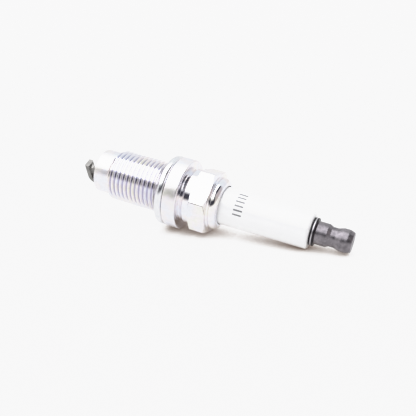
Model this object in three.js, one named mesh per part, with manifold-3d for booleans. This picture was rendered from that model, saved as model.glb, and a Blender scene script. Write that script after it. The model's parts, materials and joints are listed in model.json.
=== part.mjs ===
// Spark plug with an M14 x 1.25 thread, a 16 mm hexagon and a solid terminal post.
// Millimetres, +Z up. Each piece is drawn about the plug's own axis (local Z, pointing to the
// terminal, zero at the flange's seat), and the whole plug is then laid down on the ground:
// it leans on one corner of its hexagon and on the insulator's far edge, its axis along +X.
// Angles about the axis are counted from straight down towards +Y.

import * as THREE from 'three';
import { mergeVertices } from 'three/addons/utils/BufferGeometryUtils.js';
import Module from 'manifold-3d';

const wasm = await Module();
wasm.setup();

// ---- driving dimensions ----
const OUTER_SIDES = 32; // facets round the shell, insulator and gasket
const INNER_SIDES = 16; // facets round the slim pieces inside

const THREAD_R = 6.9; // M14, a little under its nominal size
const THREAD_ROOT_R = 6.13;
const THREAD_PITCH = 1.25;
const THREAD_START = -17.9;
const THREAD_END = -3.2;

const NOSE_R = 5.95;
const RELIEF_R = 5.8; // neck behind the thread, where the gasket sits
const SLEEVE_R = 5.19; // inside of the threaded sleeve, within the shell's wall
const SHELL_FRONT = -22.5; // open end of the shell
const FLANGE_R = 9.45;
const FLANGE_TOP = 3.87;
const COLLAR_R = 7.6;
const HEX_ACROSS_FLATS = 15.8; // nominal 16
const HEX_ROLL = THREE.MathUtils.degToRad(18.5); // a corner's angle from straight down
const HEX_BOTTOM = 6.85;
const HEX_TOP = 11.7;
const HEX_CHAMFER = 0.65; // height of the chamfer on each corner
const CRIMP_R = 7;
const CRIMP_ROUND = 1.65; // radius of the lip's shoulder
const CRIMP_TOP = 14.15;
const CRIMP_MOUTH_R = 5.28;

const CHAMBER_R = 4.3; // bore at the firing end
const LEDGE_R = 3.6; // ledge that carries the insulator
const THROAT_R = 4.48; // bore behind the ledge
const CUP_R = 6.35; // bore under the hexagon

const INSULATOR_FRONT = -23.85;
const INSULATOR_TOP = 38.05;
const INSULATOR_BODY_R = 6.19;
const INSULATOR_NECK_R = 5.08; // where it leaves the shell
const INSULATOR_TOP_R = 4.84;
const INSULATOR_EDGE_R = 0.88; // rounding of its far edge
const STUD_BORE_R = 2.27;
const ELECTRODE_BORE_R = 1.38;

const POST_FLANGE_R = 3.67;
const POST_R = 2.98;
const POST_BARREL_END = 42.4;
const POST_WAIST_R = 2.54;
const POST_HEAD_R = 3;
const POST_HEAD_AT = 46.4;
const POST_TOP = 48.5;

const ELECTRODE_R = 1.27;
const TIP_R = 0.44;
const TIP_FRONT = -25.65;
const SPARK_GAP = 0.8;
const STRAP_WIDTH = 2.65;
const STRAP_THICK = 1.33;
const STRAP_ROLL = THREE.MathUtils.degToRad(28); // the strap's angle about the axis

const hexCorner = HEX_ACROSS_FLATS / 2 / Math.cos(Math.PI / 6);

// ---- finishes ----
const finish = (color, roughness, metalness) =>
  new THREE.MeshStandardMaterial({ color, roughness, metalness });

const platedSteel = () => finish(0xc9cacc, 0.22, 1);
const glazedCeramic = () => finish(0xf4f3ef, 0.15, 0);
const darkSteel = () => finish(0x3c3f42, 0.4, 1);
const nickelAlloy = () => finish(0x8d877d, 0.35, 1);
const copper = () => finish(0xb87333, 0.35, 1);
const preciousMetal = () => finish(0xd8d6d0, 0.3, 1);
const softSteel = () => finish(0x9a9c9e, 0.5, 1);
const packedPowder = () => finish(0xd9d5c8, 0.95, 0);
const fusedGlass = () => finish(0x7a5230, 0.5, 0);
const resistorMass = () => finish(0x2e2b29, 0.8, 0);

// ---- shape helpers ----

// Turns a profile of [radius, height] points, listed with the material on their left.
function turned(profile, sides) {
  const points = profile.map(([r, z]) => new THREE.Vector2(r, z));
  const geometry = new THREE.LatheGeometry(points, sides);
  geometry.rotateX(Math.PI / 2);
  geometry.rotateZ(Math.PI / 2);
  return geometry;
}

// A closed profile is turned into a ring: its last point is its first.
const ring = (profile, sides) => turned([...profile, profile[0]], sides);

// Points of a circular arc in the profile plane, from one angle to another, in degrees.
function arc(centreR, centreZ, radius, fromDeg, toDeg, steps) {
  const points = [];
  for (let i = 0; i <= steps; i += 1) {
    const a = THREE.MathUtils.degToRad(fromDeg + ((toDeg - fromDeg) * i) / steps);
    points.push([centreR + radius * Math.cos(a), centreZ + radius * Math.sin(a)]);
  }
  return points;
}

function solid(geometry) {
  const bare = geometry.clone();
  bare.deleteAttribute('normal');
  bare.deleteAttribute('uv');
  const merged = mergeVertices(bare, 1e-5);
  return new wasm.Manifold(new wasm.Mesh({
    numProp: 3,
    vertProperties: new Float32Array(merged.attributes.position.array),
    triVerts: new Uint32Array(merged.index.array),
  }));
}

function fromSolid(body) {
  const mesh = body.getMesh();
  const geometry = new THREE.BufferGeometry();
  geometry.setAttribute('position', new THREE.BufferAttribute(mesh.vertProperties, 3));
  geometry.setIndex(new THREE.BufferAttribute(mesh.triVerts, 1));
  return geometry;
}

// A sleeve with a helical ridge on the outside. Each turn has four rows: the two edges of the
// root and the two edges of the crest, and every row climbs one pitch round the sleeve.
function threadedSleeve(innerR) {
  const rowShare = [0, 0.24, 0.56, 0.68];
  const rowRadius = [THREAD_ROOT_R, THREAD_ROOT_R, THREAD_R, THREAD_R];
  const turns = Math.ceil((THREAD_END - THREAD_START) / THREAD_PITCH) + 2;
  const rows = turns * rowShare.length;
  const base = THREAD_START - THREAD_PITCH;
  const positions = [];
  const index = [];
  const columnSize = rows + 2;
  for (let i = 0; i <= OUTER_SIDES; i += 1) {
    const angle = ((i % OUTER_SIDES) / OUTER_SIDES) * 2 * Math.PI;
    const put = (r, z) => positions.push(r * Math.cos(angle), r * Math.sin(angle), z);
    put(innerR, THREAD_START);
    for (let row = 0; row < rows; row += 1) {
      const step = row % rowShare.length;
      const turn = (row - step) / rowShare.length;
      const z = base + THREAD_PITCH * (turn + rowShare[step] + i / OUTER_SIDES);
      if (z < THREAD_START) put(THREAD_ROOT_R, THREAD_START);
      else if (z > THREAD_END) put(THREAD_ROOT_R, THREAD_END);
      else put(rowRadius[step], z);
    }
    put(innerR, THREAD_END);
  }
  for (let i = 0; i < OUTER_SIDES; i += 1) {
    for (let k = 0; k < columnSize; k += 1) {
      const a = i * columnSize + k;
      const b = i * columnSize + ((k + 1) % columnSize);
      const c = a + columnSize;
      const d = b + columnSize;
      index.push(a, c, b, b, c, d);
    }
  }
  const geometry = new THREE.BufferGeometry();
  geometry.setAttribute('position', new THREE.Float32BufferAttribute(positions, 3));
  geometry.setIndex(index);
  return withoutSlivers(mergeVertices(geometry, 1e-4));
}

// Drops the triangles whose corners were merged into one point.
function withoutSlivers(geometry) {
  const old = geometry.index.array;
  const kept = [];
  for (let i = 0; i < old.length; i += 3) {
    const [a, b, c] = [old[i], old[i + 1], old[i + 2]];
    if (a !== b && b !== c && c !== a) kept.push(a, b, c);
  }
  geometry.setIndex(kept);
  return geometry;
}

// ---- the pieces ----

// Steel shell: smooth nose, thread, seat flange, collar, hexagon and the lip rolled over
// the insulator, bored right through.
function metalShell() {
  const body = ring([
    [CHAMBER_R, SHELL_FRONT],
    [NOSE_R - 0.22, SHELL_FRONT],
    [NOSE_R, SHELL_FRONT + 0.22],
    [NOSE_R, THREAD_START],
    [RELIEF_R, THREAD_START + 0.3],
    [RELIEF_R, 0],
    ...arc(FLANGE_R - 0.33, 0.33, 0.33, -90, 0, 2),
    ...arc(FLANGE_R - 0.44, FLANGE_TOP - 0.44, 0.44, 0, 90, 2),
    [COLLAR_R - 0.11, FLANGE_TOP],
    [COLLAR_R - 0.55, FLANGE_TOP + 0.22],
    [COLLAR_R - 0.55, FLANGE_TOP + 0.77],
    [COLLAR_R, FLANGE_TOP + 0.99],
    [COLLAR_R, HEX_TOP],
    [CRIMP_R + 0.11, HEX_TOP + 0.06],
    [CRIMP_R - 0.11, HEX_TOP + 0.33],
    ...arc(CRIMP_R - CRIMP_ROUND, CRIMP_TOP - CRIMP_ROUND, CRIMP_ROUND, 0, 90, 4),
    [CRIMP_MOUTH_R, CRIMP_TOP - 0.11],
    [CRIMP_MOUTH_R, CRIMP_TOP - 0.44],
    [5.75, CRIMP_TOP - 0.94],
    [CUP_R, CRIMP_TOP - 1.6],
    [CUP_R, CUP_R - 5.03],
    [THROAT_R, THROAT_R - 5.03],
    [THROAT_R, -11.16],
    [LEDGE_R, -12.04],
    [LEDGE_R, -13.37],
    [CHAMBER_R, -14.03],
  ], OUTER_SIDES);
  const hexCentre = (HEX_BOTTOM + HEX_TOP) / 2;
  const prism = new THREE.CylinderGeometry(hexCorner, hexCorner, HEX_TOP - HEX_BOTTOM, 6);
  prism.rotateX(Math.PI / 2);
  prism.rotateZ(HEX_ROLL + Math.PI / 2);
  prism.translate(0, 0, hexCentre);
  const chamferR = HEX_ACROSS_FLATS / 2 + 0.06;
  const envelope = turned([
    [0, HEX_BOTTOM - 1],
    [chamferR, HEX_BOTTOM - 1],
    [chamferR, HEX_BOTTOM],
    [hexCorner + 0.11, HEX_BOTTOM + HEX_CHAMFER],
    [hexCorner + 0.11, HEX_TOP - HEX_CHAMFER],
    [chamferR, HEX_TOP],
    [chamferR, HEX_TOP + 1],
    [0, HEX_TOP + 1],
  ], OUTER_SIDES);
  const core = turned([
    [0, HEX_BOTTOM - 2],
    [CUP_R + 0.33, HEX_BOTTOM - 2],
    [CUP_R + 0.33, HEX_TOP + 2],
    [0, HEX_TOP + 2],
  ], OUTER_SIDES);
  const nut = solid(prism).intersect(solid(envelope)).subtract(solid(core));
  return fromSolid(solid(body).add(solid(threadedSleeve(SLEEVE_R))).add(nut));
}

// Crush gasket: a folded steel ring, held on the relief behind the thread and free to turn.
function seatGasket() {
  return ring([
    [6.08, -1.88],
    [7.05, -2.21],
    ...arc(8.4, -1.16, 1.05, -90, 90, 6),
    [6.63, -0.11],
    [6.08, -0.44],
    [6.08, -0.94],
    [7.4, -1.05],
    [7.4, -1.27],
    [6.08, -1.38],
  ], OUTER_SIDES);
}

// One-piece ceramic insulator, bored right through: wide for the stud, narrow for the electrode.
function insulator() {
  return ring([
    [ELECTRODE_BORE_R, INSULATOR_FRONT],
    [1.77, INSULATOR_FRONT],
    [2.04, INSULATOR_FRONT + 0.28],
    [2.87, -13.92],
    [3.2, -12.38],
    [3.43, -11.68],
    [4.31, -10.8],
    [4.31, -0.39],
    [INSULATOR_BODY_R, 1.49],
    [INSULATOR_BODY_R, 8.07],
    [INSULATOR_NECK_R, 9.17],
    [INSULATOR_NECK_R, 13.81],
    ...arc(
      INSULATOR_TOP_R - INSULATOR_EDGE_R, INSULATOR_TOP - INSULATOR_EDGE_R,
      INSULATOR_EDGE_R, 0, 90, 4,
    ),
    [STUD_BORE_R, INSULATOR_TOP],
    [STUD_BORE_R, -7.62],
    [ELECTRODE_BORE_R, -9.06],
  ], OUTER_SIDES);
}

// Thin conical washer between the shell's ledge and the insulator's shoulder.
function innerSeatWasher() {
  const onLedge = (r, lift) => [r, r - 15.64 + lift];
  return ring([
    onLedge(3.7, 0.09),
    onLedge(4.36, 0.09),
    onLedge(4.36, 0.42),
    onLedge(3.7, 0.42),
  ], OUTER_SIDES);
}

// Round-wire packing ring in the cup between shell and insulator.
const packingRing = (centreR, centreZ, wireR) =>
  turned(arc(centreR, centreZ, wireR, 0, 360, 8), OUTER_SIDES);

function talcSeal() {
  return ring([[5.24, 10.28], [6.22, 10.28], [6.22, 11.71], [5.24, 11.71]], OUTER_SIDES);
}

// Steel stud with its serrated foot in the glass seal, and the terminal post on its top:
// flange, barrel, waist and rounded head.
function terminalStud() {
  return turned([
    [0, 5.53],
    [1.33, 5.53],
    [1.55, 5.86],
    [1.55, 6.41],
    [1.33, 6.63],
    [1.55, 6.85],
    [1.55, 7.4],
    [1.33, 7.62],
    [1.55, 7.85],
    [1.55, 8.73],
    [2.04, 8.95],
    [2.04, INSULATOR_TOP + 0.11],
    [POST_FLANGE_R - 0.17, INSULATOR_TOP + 0.11],
    [POST_FLANGE_R, INSULATOR_TOP + 0.28],
    [POST_FLANGE_R, INSULATOR_TOP + 1.05],
    [POST_FLANGE_R - 0.17, INSULATOR_TOP + 1.22],
    [POST_R - 0.17, INSULATOR_TOP + 1.27],
    [POST_R, INSULATOR_TOP + 1.55],
    [POST_R, POST_BARREL_END - 0.44],
    [POST_R - 0.33, POST_BARREL_END],
    [POST_WAIST_R, POST_BARREL_END + 0.55],
    [POST_WAIST_R, POST_HEAD_AT - 2.1],
    [POST_HEAD_R - 0.17, POST_HEAD_AT - 1.1],
    [POST_HEAD_R, POST_HEAD_AT],
    [POST_HEAD_R - 0.13, POST_TOP - 0.99],
    [POST_HEAD_R - 0.46, POST_TOP - 0.22],
    [POST_HEAD_R - 0.77, POST_TOP],
    [0, POST_TOP],
  ], OUTER_SIDES);
}

// Conductive glass fused round the stud's foot: a cup with the foot in it.
function upperGlassSeal() {
  return turned([
    [0, 4.53],
    [2.15, 4.53],
    [2.15, 8.4],
    [1.66, 8.4],
    [1.66, 5.41],
    [0, 5.41],
  ], INNER_SIDES);
}

const plugOf = (radius, low, high) =>
  turned([[0, low], [radius, low], [radius, high], [0, high]], INNER_SIDES);

// Nickel jacket of the centre electrode: headed at the back, bored from the back for its core.
function centreElectrode() {
  return turned([
    [0, -24.53],
    [TIP_R + 0.17, -24.53],
    [ELECTRODE_R, -23.98],
    [ELECTRODE_R, -9.01],
    [2.1, -7.62],
    [2.1, -7.02],
    [0.77, -7.02],
    [0.77, -22.1],
    [0, -22.1],
  ], INNER_SIDES);
}

// Ground strap: a flat bar welded to the shell's rim and bent over the centre electrode.
const strapInner = TIP_FRONT - SPARK_GAP - 0.33;
const strapOuter = strapInner - STRAP_THICK;

function groundElectrode() {
  const legOuter = 5.75;
  const legInner = legOuter - STRAP_THICK;
  const bendR = 2.54;
  const foot = SHELL_FRONT - 0.11;
  const centreR = legOuter - bendR;
  const centreZ = strapOuter + bendR;
  const end = -1.1;
  const outline = new THREE.Shape();
  outline.moveTo(legOuter, foot);
  outline.lineTo(legInner, foot);
  outline.absarc(centreR, centreZ, bendR - STRAP_THICK, 0, -Math.PI / 2, true);
  outline.lineTo(end, strapInner);
  outline.lineTo(end, strapOuter);
  outline.absarc(centreR, centreZ, bendR, -Math.PI / 2, 0, false);
  outline.closePath();
  const bar = new THREE.ExtrudeGeometry(outline, {
    depth: STRAP_WIDTH, bevelEnabled: false, curveSegments: 6,
  });
  bar.translate(0, 0, -STRAP_WIDTH / 2);
  bar.rotateX(Math.PI / 2);
  bar.rotateZ(STRAP_ROLL);
  return bar;
}

// ---- assembly ----
const plug = new THREE.Group();

function add(name, geometry, material) {
  const mesh = new THREE.Mesh(geometry, material);
  mesh.name = name;
  plug.add(mesh);
}

add('metal_shell', metalShell(), platedSteel());
add('seat_gasket', seatGasket(), platedSteel());
add('insulator', insulator(), glazedCeramic());
add('inner_seat_washer', innerSeatWasher(), softSteel());
add('lower_packing_ring', packingRing(5.75, 9.67, 0.46), softSteel());
add('talc_seal', talcSeal(), packedPowder());
add('upper_packing_ring', packingRing(5.71, 12.29, 0.44), softSteel());
add('terminal_stud', terminalStud(), darkSteel());
add('upper_glass_seal', upperGlassSeal(), fusedGlass());
add('resistor_element', plugOf(2.15, -3.65, 4.42), resistorMass());
add('lower_glass_seal', plugOf(2.15, -6.91, -3.76), fusedGlass());
add('centre_electrode', centreElectrode(), nickelAlloy());
add('copper_core', plugOf(0.66, -21.99, -7.07), copper());
add('centre_tip', plugOf(TIP_R, TIP_FRONT, -24.64), preciousMetal());
add('ground_electrode', groundElectrode(), nickelAlloy());
add('ground_pad', plugOf(0.55, strapInner + 0.11, strapInner + 0.33), preciousMetal());

// The hexagon's corner and the insulator's far edge touch the ground together.
const cornerDrop = hexCorner * Math.cos(HEX_ROLL);
const run = INSULATOR_TOP - INSULATOR_EDGE_R - (HEX_TOP - HEX_CHAMFER);
const tilt = Math.atan((cornerDrop - INSULATOR_TOP_R) / run);
plug.rotation.y = Math.PI / 2 + tilt;
plug.updateMatrixWorld(true);
const box = new THREE.Box3().setFromObject(plug, true);
plug.position.set(-(box.min.x + box.max.x) / 2, -(box.min.y + box.max.y) / 2, -box.min.z);

const object = new THREE.Group();
object.add(plug);
export default object;
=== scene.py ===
"""A spark plug lying on a pale floor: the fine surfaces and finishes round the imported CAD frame.

Sizes are in millimetres in the plug's own frame: radius, distance s along the axis (zero at the
flange's seat, positive towards the terminal) and angle t round it, from straight down towards +Y.
"""
import json
import math

import bmesh
import bpy
from mathutils import Matrix, Vector


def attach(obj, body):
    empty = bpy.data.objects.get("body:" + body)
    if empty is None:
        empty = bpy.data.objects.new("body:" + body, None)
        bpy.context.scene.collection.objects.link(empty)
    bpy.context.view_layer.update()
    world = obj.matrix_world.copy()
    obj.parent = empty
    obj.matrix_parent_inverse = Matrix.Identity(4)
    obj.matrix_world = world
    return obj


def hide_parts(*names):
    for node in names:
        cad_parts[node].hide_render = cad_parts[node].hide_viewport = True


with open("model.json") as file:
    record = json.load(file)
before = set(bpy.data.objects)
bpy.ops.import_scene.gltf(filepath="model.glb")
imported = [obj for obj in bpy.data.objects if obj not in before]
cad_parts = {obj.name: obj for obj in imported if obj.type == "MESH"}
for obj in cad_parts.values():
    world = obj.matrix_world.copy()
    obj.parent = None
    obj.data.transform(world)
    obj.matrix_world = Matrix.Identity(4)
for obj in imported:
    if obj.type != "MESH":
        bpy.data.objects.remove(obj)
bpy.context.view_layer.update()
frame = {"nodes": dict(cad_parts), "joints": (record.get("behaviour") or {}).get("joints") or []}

MM = 0.001
SIDES = 240  # columns round a turned surface
FLOOR_HALF = 3.0  # metres

# ---- sizes, as the CAD model has them ----
THREAD_R = 6.9
THREAD_ROOT_R = 6.13
THREAD_PITCH = 1.25
THREAD_START = -17.9
THREAD_END = -3.2
NOSE_R = 5.95
RELIEF_R = 5.8
SHELL_FRONT = -22.5
FLANGE_R = 9.45
FLANGE_TOP = 3.87
COLLAR_R = 7.6
HEX_ACROSS_FLATS = 15.8
HEX_ROLL = math.radians(18.5)
HEX_BOTTOM = 6.85
HEX_TOP = 11.7
HEX_CHAMFER = 0.65
CRIMP_R = 7.0
CRIMP_ROUND = 1.65
CRIMP_TOP = 14.15
CRIMP_MOUTH_R = 5.28
CUP_R = 6.35
THROAT_R = 4.48
LEDGE_R = 3.6
CHAMBER_R = 4.3
INSULATOR_FRONT = -23.85
INSULATOR_TOP = 38.05
INSULATOR_BODY_R = 6.19
INSULATOR_THROAT_R = 4.31
INSULATOR_NECK_R = 5.08
INSULATOR_TOP_R = 4.84
INSULATOR_EDGE_R = 0.88
STUD_BORE_R = 2.27
ELECTRODE_BORE_R = 1.38
STUD_R = 2.04
STUD_FOOT_R = 1.55
STUD_FRONT = 5.53
POST_FLANGE_R = 3.67
POST_R = 2.98
POST_BARREL_END = 42.4
POST_WAIST_R = 2.54
POST_HEAD_R = 3.0
POST_HEAD_AT = 46.4
POST_TOP = 48.5
ELECTRODE_R = 1.27
ELECTRODE_FRONT = -24.53
ELECTRODE_HEAD_R = 2.1
ELECTRODE_BACK = -7.02
CORE_BORE_R = 0.77
CORE_FRONT = -22.1
TIP_R = 0.44
TIP_FRONT = -25.65
TIP_BACK = -24.64
PAD_R = 0.55
STRAP_WIDTH = 2.65
STRAP_THICK = 1.33
STRAP_INNER = -26.78
STRAP_OUTER_R = 5.75
STRAP_BEND = 2.54
STRAP_END = -1.1
STRAP_EDGE = 0.31
STRAP_ROLL = math.radians(28)
GASKET_BORE_R = 6.08
GASKET_R = 9.45
GASKET_FRONT = -2.21
GASKET_MID = -1.16
GASKET_BACK = -0.11


# ---- the plug's own frame ----
def plug_matrix():
    """Turns plug millimetres into row-frame metres. The gasket's joint gives the axis."""
    joint = next(j for j in frame["joints"] if j["name"] == "gasket_spin")
    axis = Vector(joint["axis"]).normalized()
    origin = Vector(joint["pos_m"]) - axis * GASKET_MID * MM
    across = Vector((0, 1, 0))
    down = across.cross(axis)
    turn = Matrix((down, across, axis)).transposed()
    return Matrix.Translation(origin) @ turn.to_4x4() @ Matrix.Scale(MM, 4)


PLUG = plug_matrix()


# ---- profiles ----
def outline(corners, closed=False, steps=5):
    """Points of a profile from (radius, s, fillet) corners, each rounded by its fillet."""
    points = []
    count = len(corners)
    for i, (r, s, fillet) in enumerate(corners):
        here = Vector((r, s))
        if not closed and i in (0, count - 1):
            points.append((r, s))
            continue
        back = Vector(corners[i - 1][:2]) - here
        ahead = Vector(corners[(i + 1) % count][:2]) - here
        angle = back.angle(ahead, math.pi)
        if fillet <= 0 or angle > math.radians(179):
            points.append((r, s))
            continue
        cut = min(fillet / math.tan(angle / 2), back.length * 0.49, ahead.length * 0.49)
        start = here + back.normalized() * cut
        end = here + ahead.normalized() * cut
        for k in range(steps + 1):
            f = k / steps
            point = start * (1 - f) ** 2 + here * 2 * f * (1 - f) + end * f**2
            points.append((point.x, point.y))
    return points


# ---- meshes ----
def finish_mesh(name, bm, sharp_deg=32):
    """Welds, shades and places a mesh drawn in plug millimetres."""
    bmesh.ops.remove_doubles(bm, verts=bm.verts, dist=1e-4)
    bmesh.ops.dissolve_degenerate(bm, edges=bm.edges, dist=1e-5)
    bmesh.ops.recalc_face_normals(bm, faces=bm.faces)
    limit = math.radians(sharp_deg)
    for face in bm.faces:
        face.smooth = True
    for edge in bm.edges:
        if len(edge.link_faces) == 2 and edge.calc_face_angle() > limit:
            edge.smooth = False
    bm.transform(PLUG)
    mesh = bpy.data.meshes.new(name)
    bm.to_mesh(mesh)
    bm.free()
    obj = bpy.data.objects.new(name, mesh)
    bpy.context.scene.collection.objects.link(obj)
    return obj


def column_angle(i):
    return HEX_ROLL + 2 * math.pi * i / SIDES


def skin(bm, rows, closed=True, seam_shift=None):
    """Joins rows of points round the axis. A row is (radius, s), or a function of the angle that
    gives them. seam_shift tells which row meets a given row after one turn."""
    grid = []
    for row in rows:
        line = []
        for i in range(SIDES):
            t = column_angle(i)
            r, s = row(i) if callable(row) else row
            line.append(bm.verts.new((r * math.cos(t), r * math.sin(t), s)))
        grid.append(line)
    count = len(rows)
    for j in range(count if closed else count - 1):
        k = (j + 1) % count
        for i in range(SIDES):
            if i < SIDES - 1:
                ring = (grid[j][i], grid[j][i + 1], grid[k][i + 1], grid[k][i])
            else:
                a = seam_shift(j) if seam_shift else j
                b = seam_shift(k) if seam_shift else k
                ring = (grid[j][i], grid[a][0], grid[b][0], grid[k][i])
            ring = list(dict.fromkeys(ring))
            if len(ring) > 2:
                bm.faces.new(ring)


def turned(name, corners, closed=True, steps=5):
    """A turned piece. An open profile starts and ends on the axis."""
    bm = bmesh.new()
    skin(bm, outline(corners, closed, steps), closed)
    return finish_mesh(name, bm)


def thread_rows():
    """Rows that climb one pitch a turn, as a rolled thread with rounded crests and roots."""
    shape = [
        (0.00, 0.04), (0.06, 0.0), (0.14, 0.0), (0.20, 0.04), (0.36, 0.5), (0.50, 0.92),
        (0.55, 0.99), (0.60, 1.0), (0.65, 0.99), (0.70, 0.92), (0.84, 0.5),
    ]
    turns = math.ceil((THREAD_END - THREAD_START) / THREAD_PITCH) + 2
    run_in = 0.45  # length over which the first and last crests rise

    def row(turn, share, height):
        def at(i):
            s = THREAD_START + THREAD_PITCH * (turn - 1 + share + i / SIDES)
            s = min(max(s, THREAD_START), THREAD_END)
            room = min(s - THREAD_START, THREAD_END - s) / run_in
            full = THREAD_ROOT_R + (THREAD_R - THREAD_ROOT_R) * height
            return THREAD_ROOT_R + (full - THREAD_ROOT_R) * min(1, max(0, room)), s

        return at

    rows = [row(turn, *point) for turn in range(turns) for point in shape]
    return rows, len(shape)


def hex_radius(t):
    """Radius of the hexagon's outline, its corners slightly rounded."""
    sharpness = 60
    total = 0
    for k in range(6):
        facing = math.cos(t - HEX_ROLL - math.radians(30 + 60 * k))
        total += max(0, facing) ** sharpness
    return HEX_ACROSS_FLATS / 2 * total ** (-1 / sharpness)


def hex_rows():
    """The hexagon: flats between two chamfers that follow a cone."""
    edge_r = HEX_ACROSS_FLATS / 2 + 0.05
    edge = 0.12  # width of the soft edge between a chamfer and its flat
    corner = HEX_ACROSS_FLATS / 2 / math.cos(math.pi / 6)
    slope = HEX_CHAMFER / (corner - edge_r)

    def flat(low, inset):
        def at(i):
            r = hex_radius(column_angle(i))
            rise = max(0, r - edge_r) * slope + inset
            return r, HEX_BOTTOM + rise if low else HEX_TOP - rise

        return at

    return [
        (edge_r, HEX_BOTTOM),
        flat(True, 0.0),
        flat(True, edge),
        flat(False, edge),
        flat(False, 0.0),
        (edge_r, HEX_TOP),
    ]


# ---- finishes ----
def new_material(name, **values):
    """A Principled material with its constant values set on the shader."""
    material = bpy.data.materials.new(name)
    material.use_nodes = True
    tree = material.node_tree
    shader = tree.nodes["Principled BSDF"]
    for key, value in values.items():
        shader.inputs[key.replace("_", " ")].default_value = value
    return material, tree, shader


def node(tree, kind, inputs=(), **settings):
    """A node with settings and inputs given by name or number; an input may be a socket."""
    made = tree.nodes.new(kind)
    for key, value in settings.items():
        setattr(made, key, value)
    for key, value in dict(inputs).items():
        if isinstance(value, bpy.types.NodeSocket):
            tree.links.new(value, made.inputs[key])
        else:
            made.inputs[key].default_value = value
    return made


def math_node(tree, operation, a, b=0.0):
    return node(tree, "ShaderNodeMath", {0: a, 1: b}, operation=operation).outputs[0]


def times(tree, first, *others):
    """The product of sockets or numbers."""
    for value in others:
        first = math_node(tree, "MULTIPLY", first, value)
    return first


def plus(tree, first, *others):
    """The sum of sockets or numbers."""
    for value in others:
        first = math_node(tree, "ADD", first, value)
    return first


def above(tree, value, limit):
    """One where the value is over the limit, and nothing elsewhere."""
    return math_node(tree, "GREATER_THAN", value, limit)


def plug_coordinates(tree):
    """Plug millimetres of the point being shaded, and its s, radius and angle."""
    texture = node(tree, "ShaderNodeTexCoord")
    place = node(tree, "ShaderNodeMapping", {"Vector": texture.outputs["Object"]})
    place.vector_type = "TEXTURE"
    place.inputs["Location"].default_value = PLUG.to_translation()
    place.inputs["Rotation"].default_value = PLUG.to_euler()
    place.inputs["Scale"].default_value = (MM, MM, MM)
    vector = place.outputs["Vector"]
    split = node(tree, "ShaderNodeSeparateXYZ", {0: vector})
    x, y, s = split.outputs
    radius = math_node(tree, "SQRT", plus(tree, times(tree, x, x), times(tree, y, y)))
    angle = math_node(tree, "ARCTAN2", y, x)
    return {"vector": vector, "s": s, "radius": radius, "angle": angle}


def noise(tree, vector, scale, detail=2.0, rough=0.5):
    made = node(tree, "ShaderNodeTexNoise", {
        "Vector": vector, "Scale": scale, "Detail": detail, "Roughness": rough})
    return made.outputs["Fac"]


def turning_marks(tree, at, scale):
    """Fine grooves round the axis, as a lathe or a drawing die leaves."""
    lines = node(tree, "ShaderNodeCombineXYZ", {0: at["radius"], 2: at["s"]})
    return noise(tree, lines.outputs[0], scale, 3.0, 0.6)


def ramp(tree, fac, stops):
    """A colour ramp from (position, colour) stops."""
    made = node(tree, "ShaderNodeValToRGB", {"Fac": fac})
    elements = made.color_ramp.elements
    while len(elements) < len(stops):
        elements.new(0.5)
    for element, (position, colour) in zip(elements, stops):
        element.position = position
        element.color = (*colour, 1.0)
    return made.outputs["Color"]


def span(tree, value, low, high, to_low=0.0, to_high=1.0):
    """The value's place between low and high, carried over to another range."""
    made = node(tree, "ShaderNodeMapRange", {
        0: value, 1: low, 2: high, 3: to_low, 4: to_high})
    return made.outputs[0]


def mix(tree, fac, a, b, blend="MIX"):
    """Two colours mixed by a factor; each may be a socket."""
    made = node(tree, "ShaderNodeMix", data_type="RGBA", blend_type=blend)
    for key, value in ((0, fac), (6, a), (7, b)):
        if isinstance(value, bpy.types.NodeSocket):
            tree.links.new(value, made.inputs[key])
        elif key:
            made.inputs[key].default_value = (*value, 1.0)
        else:
            made.inputs[key].default_value = value
    return made.outputs[2]


def bump(tree, shader, height, strength, distance):
    """Adds relief on top of what the shader's normal already has."""
    inputs = {"Height": height, "Strength": strength, "Distance": distance * MM}
    socket = shader.inputs["Normal"]
    if socket.links:
        inputs["Normal"] = socket.links[0].from_socket
    made = node(tree, "ShaderNodeBump", inputs)
    tree.links.new(made.outputs["Normal"], socket)


def between(tree, value, low, high, soft):
    """One inside a range and nothing outside it, with soft ends."""
    rising = span(tree, value, low - soft, low + soft)
    falling = span(tree, value, high - soft, high + soft, 1.0, 0.0)
    return times(tree, rising, falling)


def metal(name, dark, light, rough, marks, marks_depth, zones=None):
    """Worked metal: cloudy colour, uneven polish, turning marks and a fine grain. rough is the
    range of its roughness, marks the turning marks' scale and marks_depth their depth in mm.
    zones may change the colour and the roughness from place to place."""
    grain_scale, grain_depth = 10.0, 0.004
    material, tree, shader = new_material(name, Metallic=1.0)
    at = plug_coordinates(tree)
    clouds = noise(tree, at["vector"], 0.9, 4.0, 0.6)
    colour = ramp(tree, clouds, ((0.3, dark), (0.7, light)))
    lines = turning_marks(tree, at, marks)
    smear = plus(tree, times(tree, clouds, 0.6), times(tree, lines, 0.4))
    roughness = span(tree, smear, 0.3, 0.7, *rough)
    if zones:
        colour, roughness = zones(tree, at, colour, roughness)
    tree.links.new(colour, shader.inputs["Base Color"])
    tree.links.new(roughness, shader.inputs["Roughness"])
    bump(tree, shader, lines, 0.5, marks_depth)
    bump(tree, shader, noise(tree, at["vector"], grain_scale, 3.0), 0.4, grain_depth)
    return material


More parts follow.
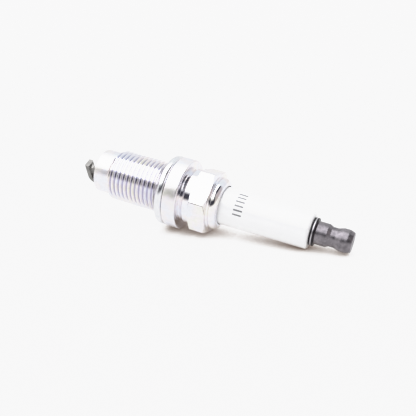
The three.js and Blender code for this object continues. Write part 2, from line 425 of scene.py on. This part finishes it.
def plating_zones_and_root_shade(tree, at, colour, roughness):
    """Painted bluish shade darkens the thread's roots; the nose, flange and hexagon are more satin,
    and the rolled lip the most polished."""
    s, radius = at["s"], at["radius"]
    in_thread = between(tree, s, THREAD_START + 0.2, THREAD_END - 0.2, 0.1)
    # Painted shade: a bluish darkening, strongest at the thread's roots and gone on the crests.
    depth = span(tree, radius, THREAD_ROOT_R + 0.05, THREAD_ROOT_R + 0.34, 0.9, 0.0)
    painted_root_shade = times(tree, in_thread, depth)
    nose = math_node(tree, "LESS_THAN", s, THREAD_START)
    rim = times(tree, between(tree, s, 0.1, FLANGE_TOP - 0.1, 0.1),
                above(tree, radius, FLANGE_R - 0.3))
    flats = times(tree, between(tree, s, HEX_BOTTOM, HEX_TOP, 0.05),
                  above(tree, radius, COLLAR_R + 0.02))
    lip = above(tree, s, HEX_TOP + 0.2)
    for zone, extra in ((nose, 0.2), (rim, 0.26), (flats, 0.08), (lip, -0.05)):
        roughness = plus(tree, roughness, times(tree, zone, extra))
    return mix(tree, painted_root_shade, passivation(tree, at, colour), (0.50, 0.48, 0.62)), roughness


def passivation(tree, at, colour):
    """The thin passivated film over the zinc: faint cream, pink and lavender clouds."""
    cream, pink, lavender = (1.0, 0.98, 0.90), (1.0, 0.955, 0.96), (0.94, 0.95, 1.0)
    film = ramp(tree, noise(tree, at["vector"], 0.22, 3.0, 0.6),
                ((0.34, cream), (0.47, pink), (0.6, lavender)))
    return mix(tree, 1.0, colour, film, "MULTIPLY")


def plated_steel():
    return metal("plated_steel", (0.84, 0.845, 0.86), (0.92, 0.92, 0.93), (0.06, 0.14), 7.0,
                 0.006, zones=plating_zones_and_root_shade)


def gasket_steel():
    return metal("gasket_steel", (0.76, 0.77, 0.80), (0.88, 0.88, 0.90), (0.12, 0.3), 3.0, 0.006)


def flange_painted_shade_and_highlight(tree, at, colour, roughness):
    """Painted shade makes the post's flange very dark, and a painted highlight runs as a light line
    along its rim.
    """
    # Painted shade over the flange, standing in for the dark lines at its gap and groove.
    painted_flange_shade = between(tree, at["s"], INSULATOR_TOP, INSULATOR_TOP + 1.3, 0.08)
    # Painted highlight: a light line along the flange's rim.
    painted_rim_highlight = times(tree, between(tree, at["s"], INSULATOR_TOP + 0.5, INSULATOR_TOP + 0.74, 0.06),
                 above(tree, at["radius"], POST_FLANGE_R - 0.12))
    flange_with_painted_shade = mix(tree, painted_flange_shade, colour, (0.035, 0.03, 0.035))
    return mix(tree, painted_rim_highlight, flange_with_painted_shade, (0.62, 0.60, 0.62)), roughness


def dark_steel():
    return metal("dark_steel", (0.15, 0.138, 0.15), (0.32, 0.295, 0.315), (0.28, 0.44), 3.0,
                 0.016, zones=flange_painted_shade_and_highlight)


def heat_tint(tree, at, colour, roughness):
    """The strap is tinted brown by the weld at its foot."""
    foot = span(tree, at["s"], STRAP_INNER, SHELL_FRONT - 0.5)
    return mix(tree, foot, colour, (0.16, 0.12, 0.09)), roughness


def nickel_alloy():
    return metal("nickel_alloy", (0.18, 0.175, 0.165), (0.32, 0.31, 0.295), (0.3, 0.48), 5.0, 0.008,
                 zones=heat_tint)


def precious_metal():
    return metal("precious_metal", (0.62, 0.61, 0.58), (0.78, 0.77, 0.74), (0.15, 0.3), 9.0, 0.004)


def soft_steel():
    return metal("soft_steel", (0.36, 0.36, 0.36), (0.55, 0.55, 0.56), (0.35, 0.55), 5.0, 0.008)


def copper():
    return metal("copper", (0.68, 0.34, 0.20), (0.85, 0.48, 0.32), (0.2, 0.4), 6.0, 0.006)


def powder(name, dark, light, scale):
    """Pressed or fused grains, matt and slightly pitted."""
    material, tree, shader = new_material(name)
    at = plug_coordinates(tree)
    grains = noise(tree, at["vector"], scale, 5.0, 0.7)
    tree.links.new(ramp(tree, grains, ((0.35, dark), (0.65, light))),
                   shader.inputs["Base Color"])
    tree.links.new(span(tree, grains, 0.3, 0.7, 0.55, 0.9), shader.inputs["Roughness"])
    bump(tree, shader, grains, 0.5, 0.05)
    return material


def glazed_ceramic():
    """White alumina under a clear glaze, with a worn grey mark of plain dashes."""
    material, tree, shader = new_material(
        "glazed_ceramic", Coat_Weight=1.0, Coat_Roughness=0.04, Coat_IOR=1.5)
    at = plug_coordinates(tree)
    body = ramp(tree, noise(tree, at["vector"], 0.35, 3.0),
                ((0.35, (0.945, 0.945, 0.945)), (0.65, (0.96, 0.96, 0.96))))
    grains = noise(tree, at["vector"], 9.0, 4.0, 0.7)
    ink = dashes(tree, at, grains)
    tree.links.new(mix(tree, ink, body, (0.10, 0.10, 0.11)), shader.inputs["Base Color"])
    tree.links.new(span(tree, grains, 0.3, 0.7, 0.28, 0.42), shader.inputs["Roughness"])
    bump(tree, shader, noise(tree, at["vector"], 0.8, 2.0), 0.25, 0.03)
    bump(tree, shader, grains, 0.15, 0.004)
    return material


def dashes(tree, at, grains):
    """Where the ink is: thin strokes along the axis, one after another round the insulator."""
    first, pitch = math.radians(-166), math.radians(13.5)
    count, share = 6.0, 0.34
    middle, half_length = 19.3, 1.2
    turns = math_node(tree, "DIVIDE", math_node(tree, "SUBTRACT", at["angle"], first), pitch)
    stroke = math_node(tree, "LESS_THAN", math_node(tree, "FRACT", turns), share)
    inside = times(tree, above(tree, turns, 0.0), math_node(tree, "LESS_THAN", turns, count))
    offset = math_node(tree, "ABSOLUTE", math_node(tree, "SUBTRACT", at["s"], middle))
    band = math_node(tree, "LESS_THAN", offset, half_length)
    outside = above(tree, at["radius"], 3.5)
    wear = span(tree, grains, 0.36, 0.5, 0.55, 0.95)
    return times(tree, stroke, inside, band, outside, wear)


def floor_with_painted_shadow():
    """A pale, softly glowing table, with a warm brown contact shadow painted into its emission
    where something lies just above it.
    """
    material, tree, shader = new_material("floor_with_painted_shadow", Specular_IOR_Level=0.12)
    texture = node(tree, "ShaderNodeTexCoord").outputs["Object"]
    tooth = noise(tree, texture, 900.0, 3.0)
    tree.links.new(ramp(tree, tooth, ((0.3, (0.10, 0.10, 0.105)), (0.7, (0.11, 0.11, 0.115)))),
                   shader.inputs["Base Color"])
    tree.links.new(span(tree, tooth, 0.3, 0.7, 0.5, 0.6), shader.inputs["Roughness"])
    bump(tree, shader, tooth, 0.1, 0.02)
    # Painted contact shadow: the emission turns warm brown and darkens where the plug lies just
    # above the floor.
    painted_shadow_occlusion = node(tree, "ShaderNodeAmbientOcclusion", {"Distance": 5 * MM}, samples=8)
    emission_with_painted_shadow = ramp(tree, painted_shadow_occlusion.outputs["AO"], (
        (0.0, (0.03, 0.015, 0.008)), (0.22, (0.24, 0.17, 0.13)), (0.38, (0.74, 0.725, 0.71)),
        (0.55, (0.845, 0.84, 0.84)), (0.75, (0.865, 0.865, 0.865))))
    tree.links.new(emission_with_painted_shadow, shader.inputs["Emission Color"])
    shader.inputs["Emission Strength"].default_value = 1.0
    return material


# ---- pieces ----
def dress(obj, material, replaced, body="plug"):
    """Gives a piece its finish, fixes it to its body and hides the node of the frame that it stands
    for.
    """
    obj.data.materials.clear()
    obj.data.materials.append(material)
    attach(obj, body)
    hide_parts(replaced)


def make_shell(material):
    """The shell in one skin: nose, thread, flange, collar, hexagon, rolled lip and bore."""
    front = outline([
        (CHAMBER_R, SHELL_FRONT + 1.1, 0),
        (CHAMBER_R, SHELL_FRONT, 0.13),
        (NOSE_R, SHELL_FRONT, 0.33),
        (NOSE_R, THREAD_START - 0.44, 0.11),
        (THREAD_ROOT_R, THREAD_START, 0),
    ])
    groove_r = COLLAR_R - 0.55
    thread, per_turn = thread_rows()
    behind = outline([
        (THREAD_ROOT_R, THREAD_END, 0),
        (RELIEF_R, THREAD_END + 0.2, 0.11),
        (RELIEF_R, 0, 0.17),
        (FLANGE_R, 0, 0.4),
        (FLANGE_R, FLANGE_TOP, 0.5),
        (groove_r, FLANGE_TOP, 0.17),
        (groove_r, FLANGE_TOP + 0.88, 0.22),
        (COLLAR_R, FLANGE_TOP + 1.22, 0.28),
        (COLLAR_R, HEX_BOTTOM, 0),
    ])
    dome = [(math.cos(math.radians(a)), math.sin(math.radians(a))) for a in range(0, 91, 6)]
    lip = outline([
        (CRIMP_R + 0.11, HEX_TOP, 0),
        (CRIMP_R - 0.11, HEX_TOP + 0.33, 0.22),
        *[(CRIMP_R + CRIMP_ROUND * (c - 1), CRIMP_TOP + CRIMP_ROUND * (s - 1), 0)
          for c, s in dome],
        (CRIMP_MOUTH_R, CRIMP_TOP, 0.06),
        (CRIMP_MOUTH_R, CRIMP_TOP - 0.55, 0.11),
        (CUP_R, CRIMP_TOP - 1.6, 0),
        (CUP_R, 1.33, 0),
        (THROAT_R, -0.55, 0),
        (THROAT_R, -11.16, 0),
        (LEDGE_R, -12.04, 0),
        (LEDGE_R, -13.37, 0),
        (CHAMBER_R, -14.03, 0),
    ])
    rows = front + thread + behind + hex_rows() + lip
    first = len(front)
    last = first + len(thread) - 1

    def seam_shift(row):
        return min(row + per_turn, last) if first <= row <= last else row

    bm = bmesh.new()
    skin(bm, rows, True, seam_shift)
    dress(finish_mesh("shell_body", bm), material, "metal_shell")


def make_gasket(material):
    """The crush gasket: sheet folded into a ring, with the fold open towards its bore."""
    fold_r = 7.4
    obj = turned("crush_gasket", [
        (GASKET_BORE_R, GASKET_FRONT + 0.33, 0.11),
        (7.05, GASKET_FRONT, 0.17),
        (GASKET_R, GASKET_FRONT, 1.0),
        (GASKET_R, GASKET_BACK, 1.0),
        (6.63, GASKET_BACK, 0.17),
        (GASKET_BORE_R, GASKET_BACK - 0.33, 0.11),
        (GASKET_BORE_R, GASKET_MID + 0.22, 0.11),
        (fold_r, GASKET_MID + 0.11, 0.06),
        (fold_r, GASKET_MID - 0.11, 0.06),
        (GASKET_BORE_R, GASKET_MID - 0.22, 0.11),
    ], steps=8)
    dress(obj, material, "seat_gasket", body="gasket")


def make_insulator(material):
    """The insulator: firing cone, seat shoulder, body, and a slim neck up to the terminal."""
    obj = turned("ceramic_insulator", [
        (ELECTRODE_BORE_R, INSULATOR_FRONT, 0.11),
        (2.04, INSULATOR_FRONT, 0.33),
        (2.87, -13.92, 1.1),
        (3.43, -11.68, 0.33),
        (INSULATOR_THROAT_R, -10.8, 0.22),
        (INSULATOR_THROAT_R, -0.39, 0.33),
        (INSULATOR_BODY_R, 1.49, 0.33),
        (INSULATOR_BODY_R, 8.07, 0.33),
        (INSULATOR_NECK_R, 9.17, 0.22),
        (INSULATOR_NECK_R, 13.81, 0.55),
        (INSULATOR_TOP_R, INSULATOR_TOP, INSULATOR_EDGE_R),
        (STUD_BORE_R, INSULATOR_TOP, 0.11),
        (STUD_BORE_R, -7.62, 0.11),
        (ELECTRODE_BORE_R, -9.06, 0.11),
    ], steps=8)
    dress(obj, material, "insulator")


def make_stud(material):
    """The stud, and on it the terminal post: flange, barrel, waist and rounded head."""
    base = INSULATOR_TOP + 0.11
    obj = turned("terminal_post", [
        (0, STUD_FRONT, 0),
        (STUD_FOOT_R, STUD_FRONT, 0.11),
        (STUD_FOOT_R, STUD_FRONT + 3.2, 0.11),
        (STUD_R, STUD_FRONT + 3.42, 0.06),
        (STUD_R, base, 0),
        (POST_FLANGE_R, base, 0.17),
        (POST_FLANGE_R, base + 1.05, 0.22),
        (POST_R, base + 1.16, 0.11),
        (POST_R, POST_BARREL_END - 0.33, 0.17),
        (POST_WAIST_R, POST_BARREL_END + 0.55, 0.44),
        (POST_WAIST_R, POST_HEAD_AT - 2.1, 0.88),
        (POST_HEAD_R, POST_HEAD_AT - 0.66, 0.88),
        (POST_HEAD_R, POST_TOP - 1.22, 1.1),
        (POST_HEAD_R - 0.44, POST_TOP, 0.28),
        (0.66, POST_TOP, 0.11),
        (0, POST_TOP - 0.28, 0),
    ], closed=False, steps=8)
    dress(obj, material, "terminal_stud")


def make_centre(material, tip_material):
    """The centre electrode's jacket, bored for its copper core, and the fine tip on it."""
    jacket = turned("centre_electrode_body", [
        (0, ELECTRODE_FRONT, 0),
        (TIP_R + 0.17, ELECTRODE_FRONT, 0.06),
        (ELECTRODE_R, ELECTRODE_FRONT + 0.55, 0.11),
        (ELECTRODE_R, ELECTRODE_BACK - 1.99, 0),
        (ELECTRODE_HEAD_R, ELECTRODE_BACK - 0.6, 0.11),
        (ELECTRODE_HEAD_R, ELECTRODE_BACK, 0.11),
        (CORE_BORE_R, ELECTRODE_BACK, 0.06),
        (CORE_BORE_R, CORE_FRONT, 0.11),
        (0, CORE_FRONT, 0),
    ], closed=False)
    dress(jacket, material, "centre_electrode")
    tip = turned("firing_tip", [
        (0, TIP_FRONT, 0),
        (TIP_R, TIP_FRONT, 0.06),
        (TIP_R, TIP_BACK, 0.06),
        (0, TIP_BACK, 0),
    ], closed=False)
    dress(tip, tip_material, "centre_tip")


def strap_path():
    """The middle line of the strap as (radius, s): out from the rim, round the bend, inward."""
    half = STRAP_THICK / 2
    outer = STRAP_INNER - STRAP_THICK
    turns = 14
    points = [(STRAP_OUTER_R - half, SHELL_FRONT - 0.02)]
    for k in range(turns + 1):
        a = -math.pi / 2 * k / turns
        points.append((STRAP_OUTER_R - STRAP_BEND + (STRAP_BEND - half) * math.cos(a),
                       outer + STRAP_BEND + (STRAP_BEND - half) * math.sin(a)))
    points.append((STRAP_END, outer + half))
    return points


def strap_section():
    """The strap's cross-section, a rectangle with rounded corners."""
    inner_u = STRAP_THICK / 2 - STRAP_EDGE
    inner_v = STRAP_WIDTH / 2 - STRAP_EDGE
    points = []
    for side_u, side_v, start in ((1, 1, 0), (-1, 1, 90), (-1, -1, 180), (1, -1, 270)):
        for k in range(5):
            a = math.radians(start + 22.5 * k)
            points.append((side_u * inner_u + STRAP_EDGE * math.cos(a),
                           side_v * inner_v + STRAP_EDGE * math.sin(a)))
    return points


def make_strap(material, tip_material):
    """The ground strap: its section swept along its path, and the pad that faces the tip."""
    middle = strap_path()
    section = strap_section()
    bm = bmesh.new()
    rings = []
    for i, (r, s) in enumerate(middle):
        before = Vector(middle[max(i - 1, 0)])
        after = Vector(middle[min(i + 1, len(middle) - 1)])
        along = (after - before).normalized()
        side = Vector((-along.y, along.x))
        ring = []
        for u, v in section:
            radial = r + side.x * u
            axial = s + side.y * u
            x = radial * math.cos(STRAP_ROLL) - v * math.sin(STRAP_ROLL)
            y = radial * math.sin(STRAP_ROLL) + v * math.cos(STRAP_ROLL)
            ring.append(bm.verts.new((x, y, axial)))
        rings.append(ring)
    count = len(section)
    for a, b in zip(rings, rings[1:]):
        for k in range(count):
            bm.faces.new((a[k], a[(k + 1) % count], b[(k + 1) % count], b[k]))
    bm.faces.new(list(reversed(rings[0])))
    bm.faces.new(rings[-1])
    dress(finish_mesh("ground_strap", bm), material, "ground_electrode")
    pad_back = STRAP_INNER + 0.02
    pad_face = STRAP_INNER + 0.33
    pad = turned("ground_strap_pad", [
        (0, pad_back, 0),
        (PAD_R, pad_back, 0.06),
        (PAD_R, pad_face, 0.07),
        (0, pad_face, 0),
    ], closed=False)
    dress(pad, tip_material, "ground_pad")


def dress_inner_nodes():
    """The sealed pieces keep their CAD shape and get their own finishes."""
    soft = soft_steel()
    glass = powder("fused_glass", (0.20, 0.11, 0.05), (0.42, 0.26, 0.14), 4.0)
    finishes = {
        "inner_seat_washer": soft,
        "lower_packing_ring": soft,
        "upper_packing_ring": soft,
        "talc_seal": powder("pressed_talc", (0.72, 0.70, 0.64), (0.86, 0.84, 0.79), 6.0),
        "upper_glass_seal": glass,
        "lower_glass_seal": glass,
        "resistor_element": powder("resistor_mass", (0.05, 0.045, 0.04), (0.14, 0.13, 0.12), 5.0),
        "copper_core": copper(),
    }
    for name, material in finishes.items():
        mesh = frame["nodes"][name].data
        mesh.materials.clear()
        mesh.materials.append(material)


# ---- studio ----
def make_floor():
    mesh = bpy.data.meshes.new("floor")
    corners = [(FLOOR_HALF * x, FLOOR_HALF * y, 0) for x, y in ((-1, -1), (1, -1), (1, 1), (-1, 1))]
    mesh.from_pydata(corners, [], [(0, 1, 2, 3)])
    floor = bpy.data.objects.new("floor", mesh)
    bpy.context.scene.collection.objects.link(floor)
    mesh.materials.append(floor_with_painted_shadow())


def make_world():
    """A white tent with a bright panel over its left front. It opens on a dark room behind the
    camera. At its right show a dark figure, a high shelf and a wooden wall, at its left a
    curtain. The plating reflects them all."""
    world = bpy.data.worlds.new("studio")
    bpy.context.scene.world = world
    world.use_nodes = True
    tree = world.node_tree
    background = tree.nodes["Background"]
    direction = node(tree, "ShaderNodeTexCoord").outputs["Generated"]
    x, y, z = node(tree, "ShaderNodeSeparateXYZ", {0: direction}).outputs
    back = times(tree, y, -1.0)
    azimuth = math_node(tree, "DEGREES", math_node(tree, "ARCTAN2", x, back))
    elevation = math_node(tree, "DEGREES", math_node(tree, "ARCSINE", z))

    def patch(azimuths, elevations, soft, depth):
        return times(tree, between(tree, azimuth, *azimuths, soft),
                     between(tree, elevation, *elevations, soft), depth)

    def stronger(first, second):
        return math_node(tree, "MAXIMUM", first, second)

    height = math_node(tree, "MAXIMUM", z, 0.02)
    over_x = math_node(tree, "DIVIDE", x, height)
    over_y = math_node(tree, "DIVIDE", y, height)
    panel = times(tree, between(tree, over_x, -1.31, 0.35, 0.05),
                  between(tree, over_y, -1.26, 0.3, 0.05))
    sky = mix(tree, span(tree, elevation, 5, 45), (0.88, 0.865, 0.87), (0.88, 0.91, 0.92))
    wood = patch((50, 120), (6, 45), 5.0, 0.9)
    curtain = patch((-125, -62), (4, 40), 6.0, 0.85)
    opening = patch((-30, 52), (5, 29), 4.0, 0.98)
    figure = patch((24, 48), (4, 74), 3.0, 0.85)
    shelf = patch((40, 122), (46, 74), 2.0, 0.99)
    walls = mix(tree, wood, sky, (0.50, 0.44, 0.44))
    walls = mix(tree, curtain, walls, (0.52, 0.44, 0.46))
    room = mix(tree, panel, walls, (2.7, 2.73, 2.8))
    shade = stronger(stronger(opening, figure), shelf)
    tree.links.new(mix(tree, shade, room, (0.03, 0.03, 0.045)), background.inputs["Color"])
    background.inputs["Strength"].default_value = 1.0


def set_tone():
    """Highlights roll off gently up to a level well above a white surface's."""
    white = 3.3
    combined = 3  # the curve that works on all three channels
    view = bpy.context.scene.view_settings
    view.view_transform = "Standard"
    view.use_curve_mapping = True
    curves = view.curve_mapping
    curves.white_level = (white, white, white)
    points = curves.curves[combined].points
    for place, level in ((0.242, 0.84), (0.288, 0.93), (0.424, 0.965)):
        points.new(place, level)
    for point in points:
        point.handle_type = "VECTOR"
    curves.update()


def make_camera():
    """A camera close to the plug, looking down at it from its right front."""
    azimuth = math.radians(23.11)
    elevation = math.radians(20.58)
    distance = 0.1705  # metres, as the point aimed at
    aim = Vector((-0.00077, 0.0, 0.00666))
    back = Vector((math.sin(azimuth) * math.cos(elevation),
                   -math.cos(azimuth) * math.cos(elevation), math.sin(elevation)))
    data = bpy.data.cameras.new("camera")
    data.lens = 55.38
    data.sensor_width = 36.0
    data.clip_start = 0.01
    camera = bpy.data.objects.new("camera", data)
    bpy.context.scene.collection.objects.link(camera)
    camera.location = aim + back * distance
    camera.rotation_euler = (-back).to_track_quat("-Z", "Y").to_euler()
    bpy.context.scene.camera = camera


make_camera()
make_floor()
make_world()
set_tone()

alloy = nickel_alloy()
tip_metal = precious_metal()
make_shell(plated_steel())
make_gasket(gasket_steel())
make_insulator(glazed_ceramic())
make_stud(dark_steel())
make_centre(alloy, tip_metal)
make_strap(alloy, tip_metal)
dress_inner_nodes()
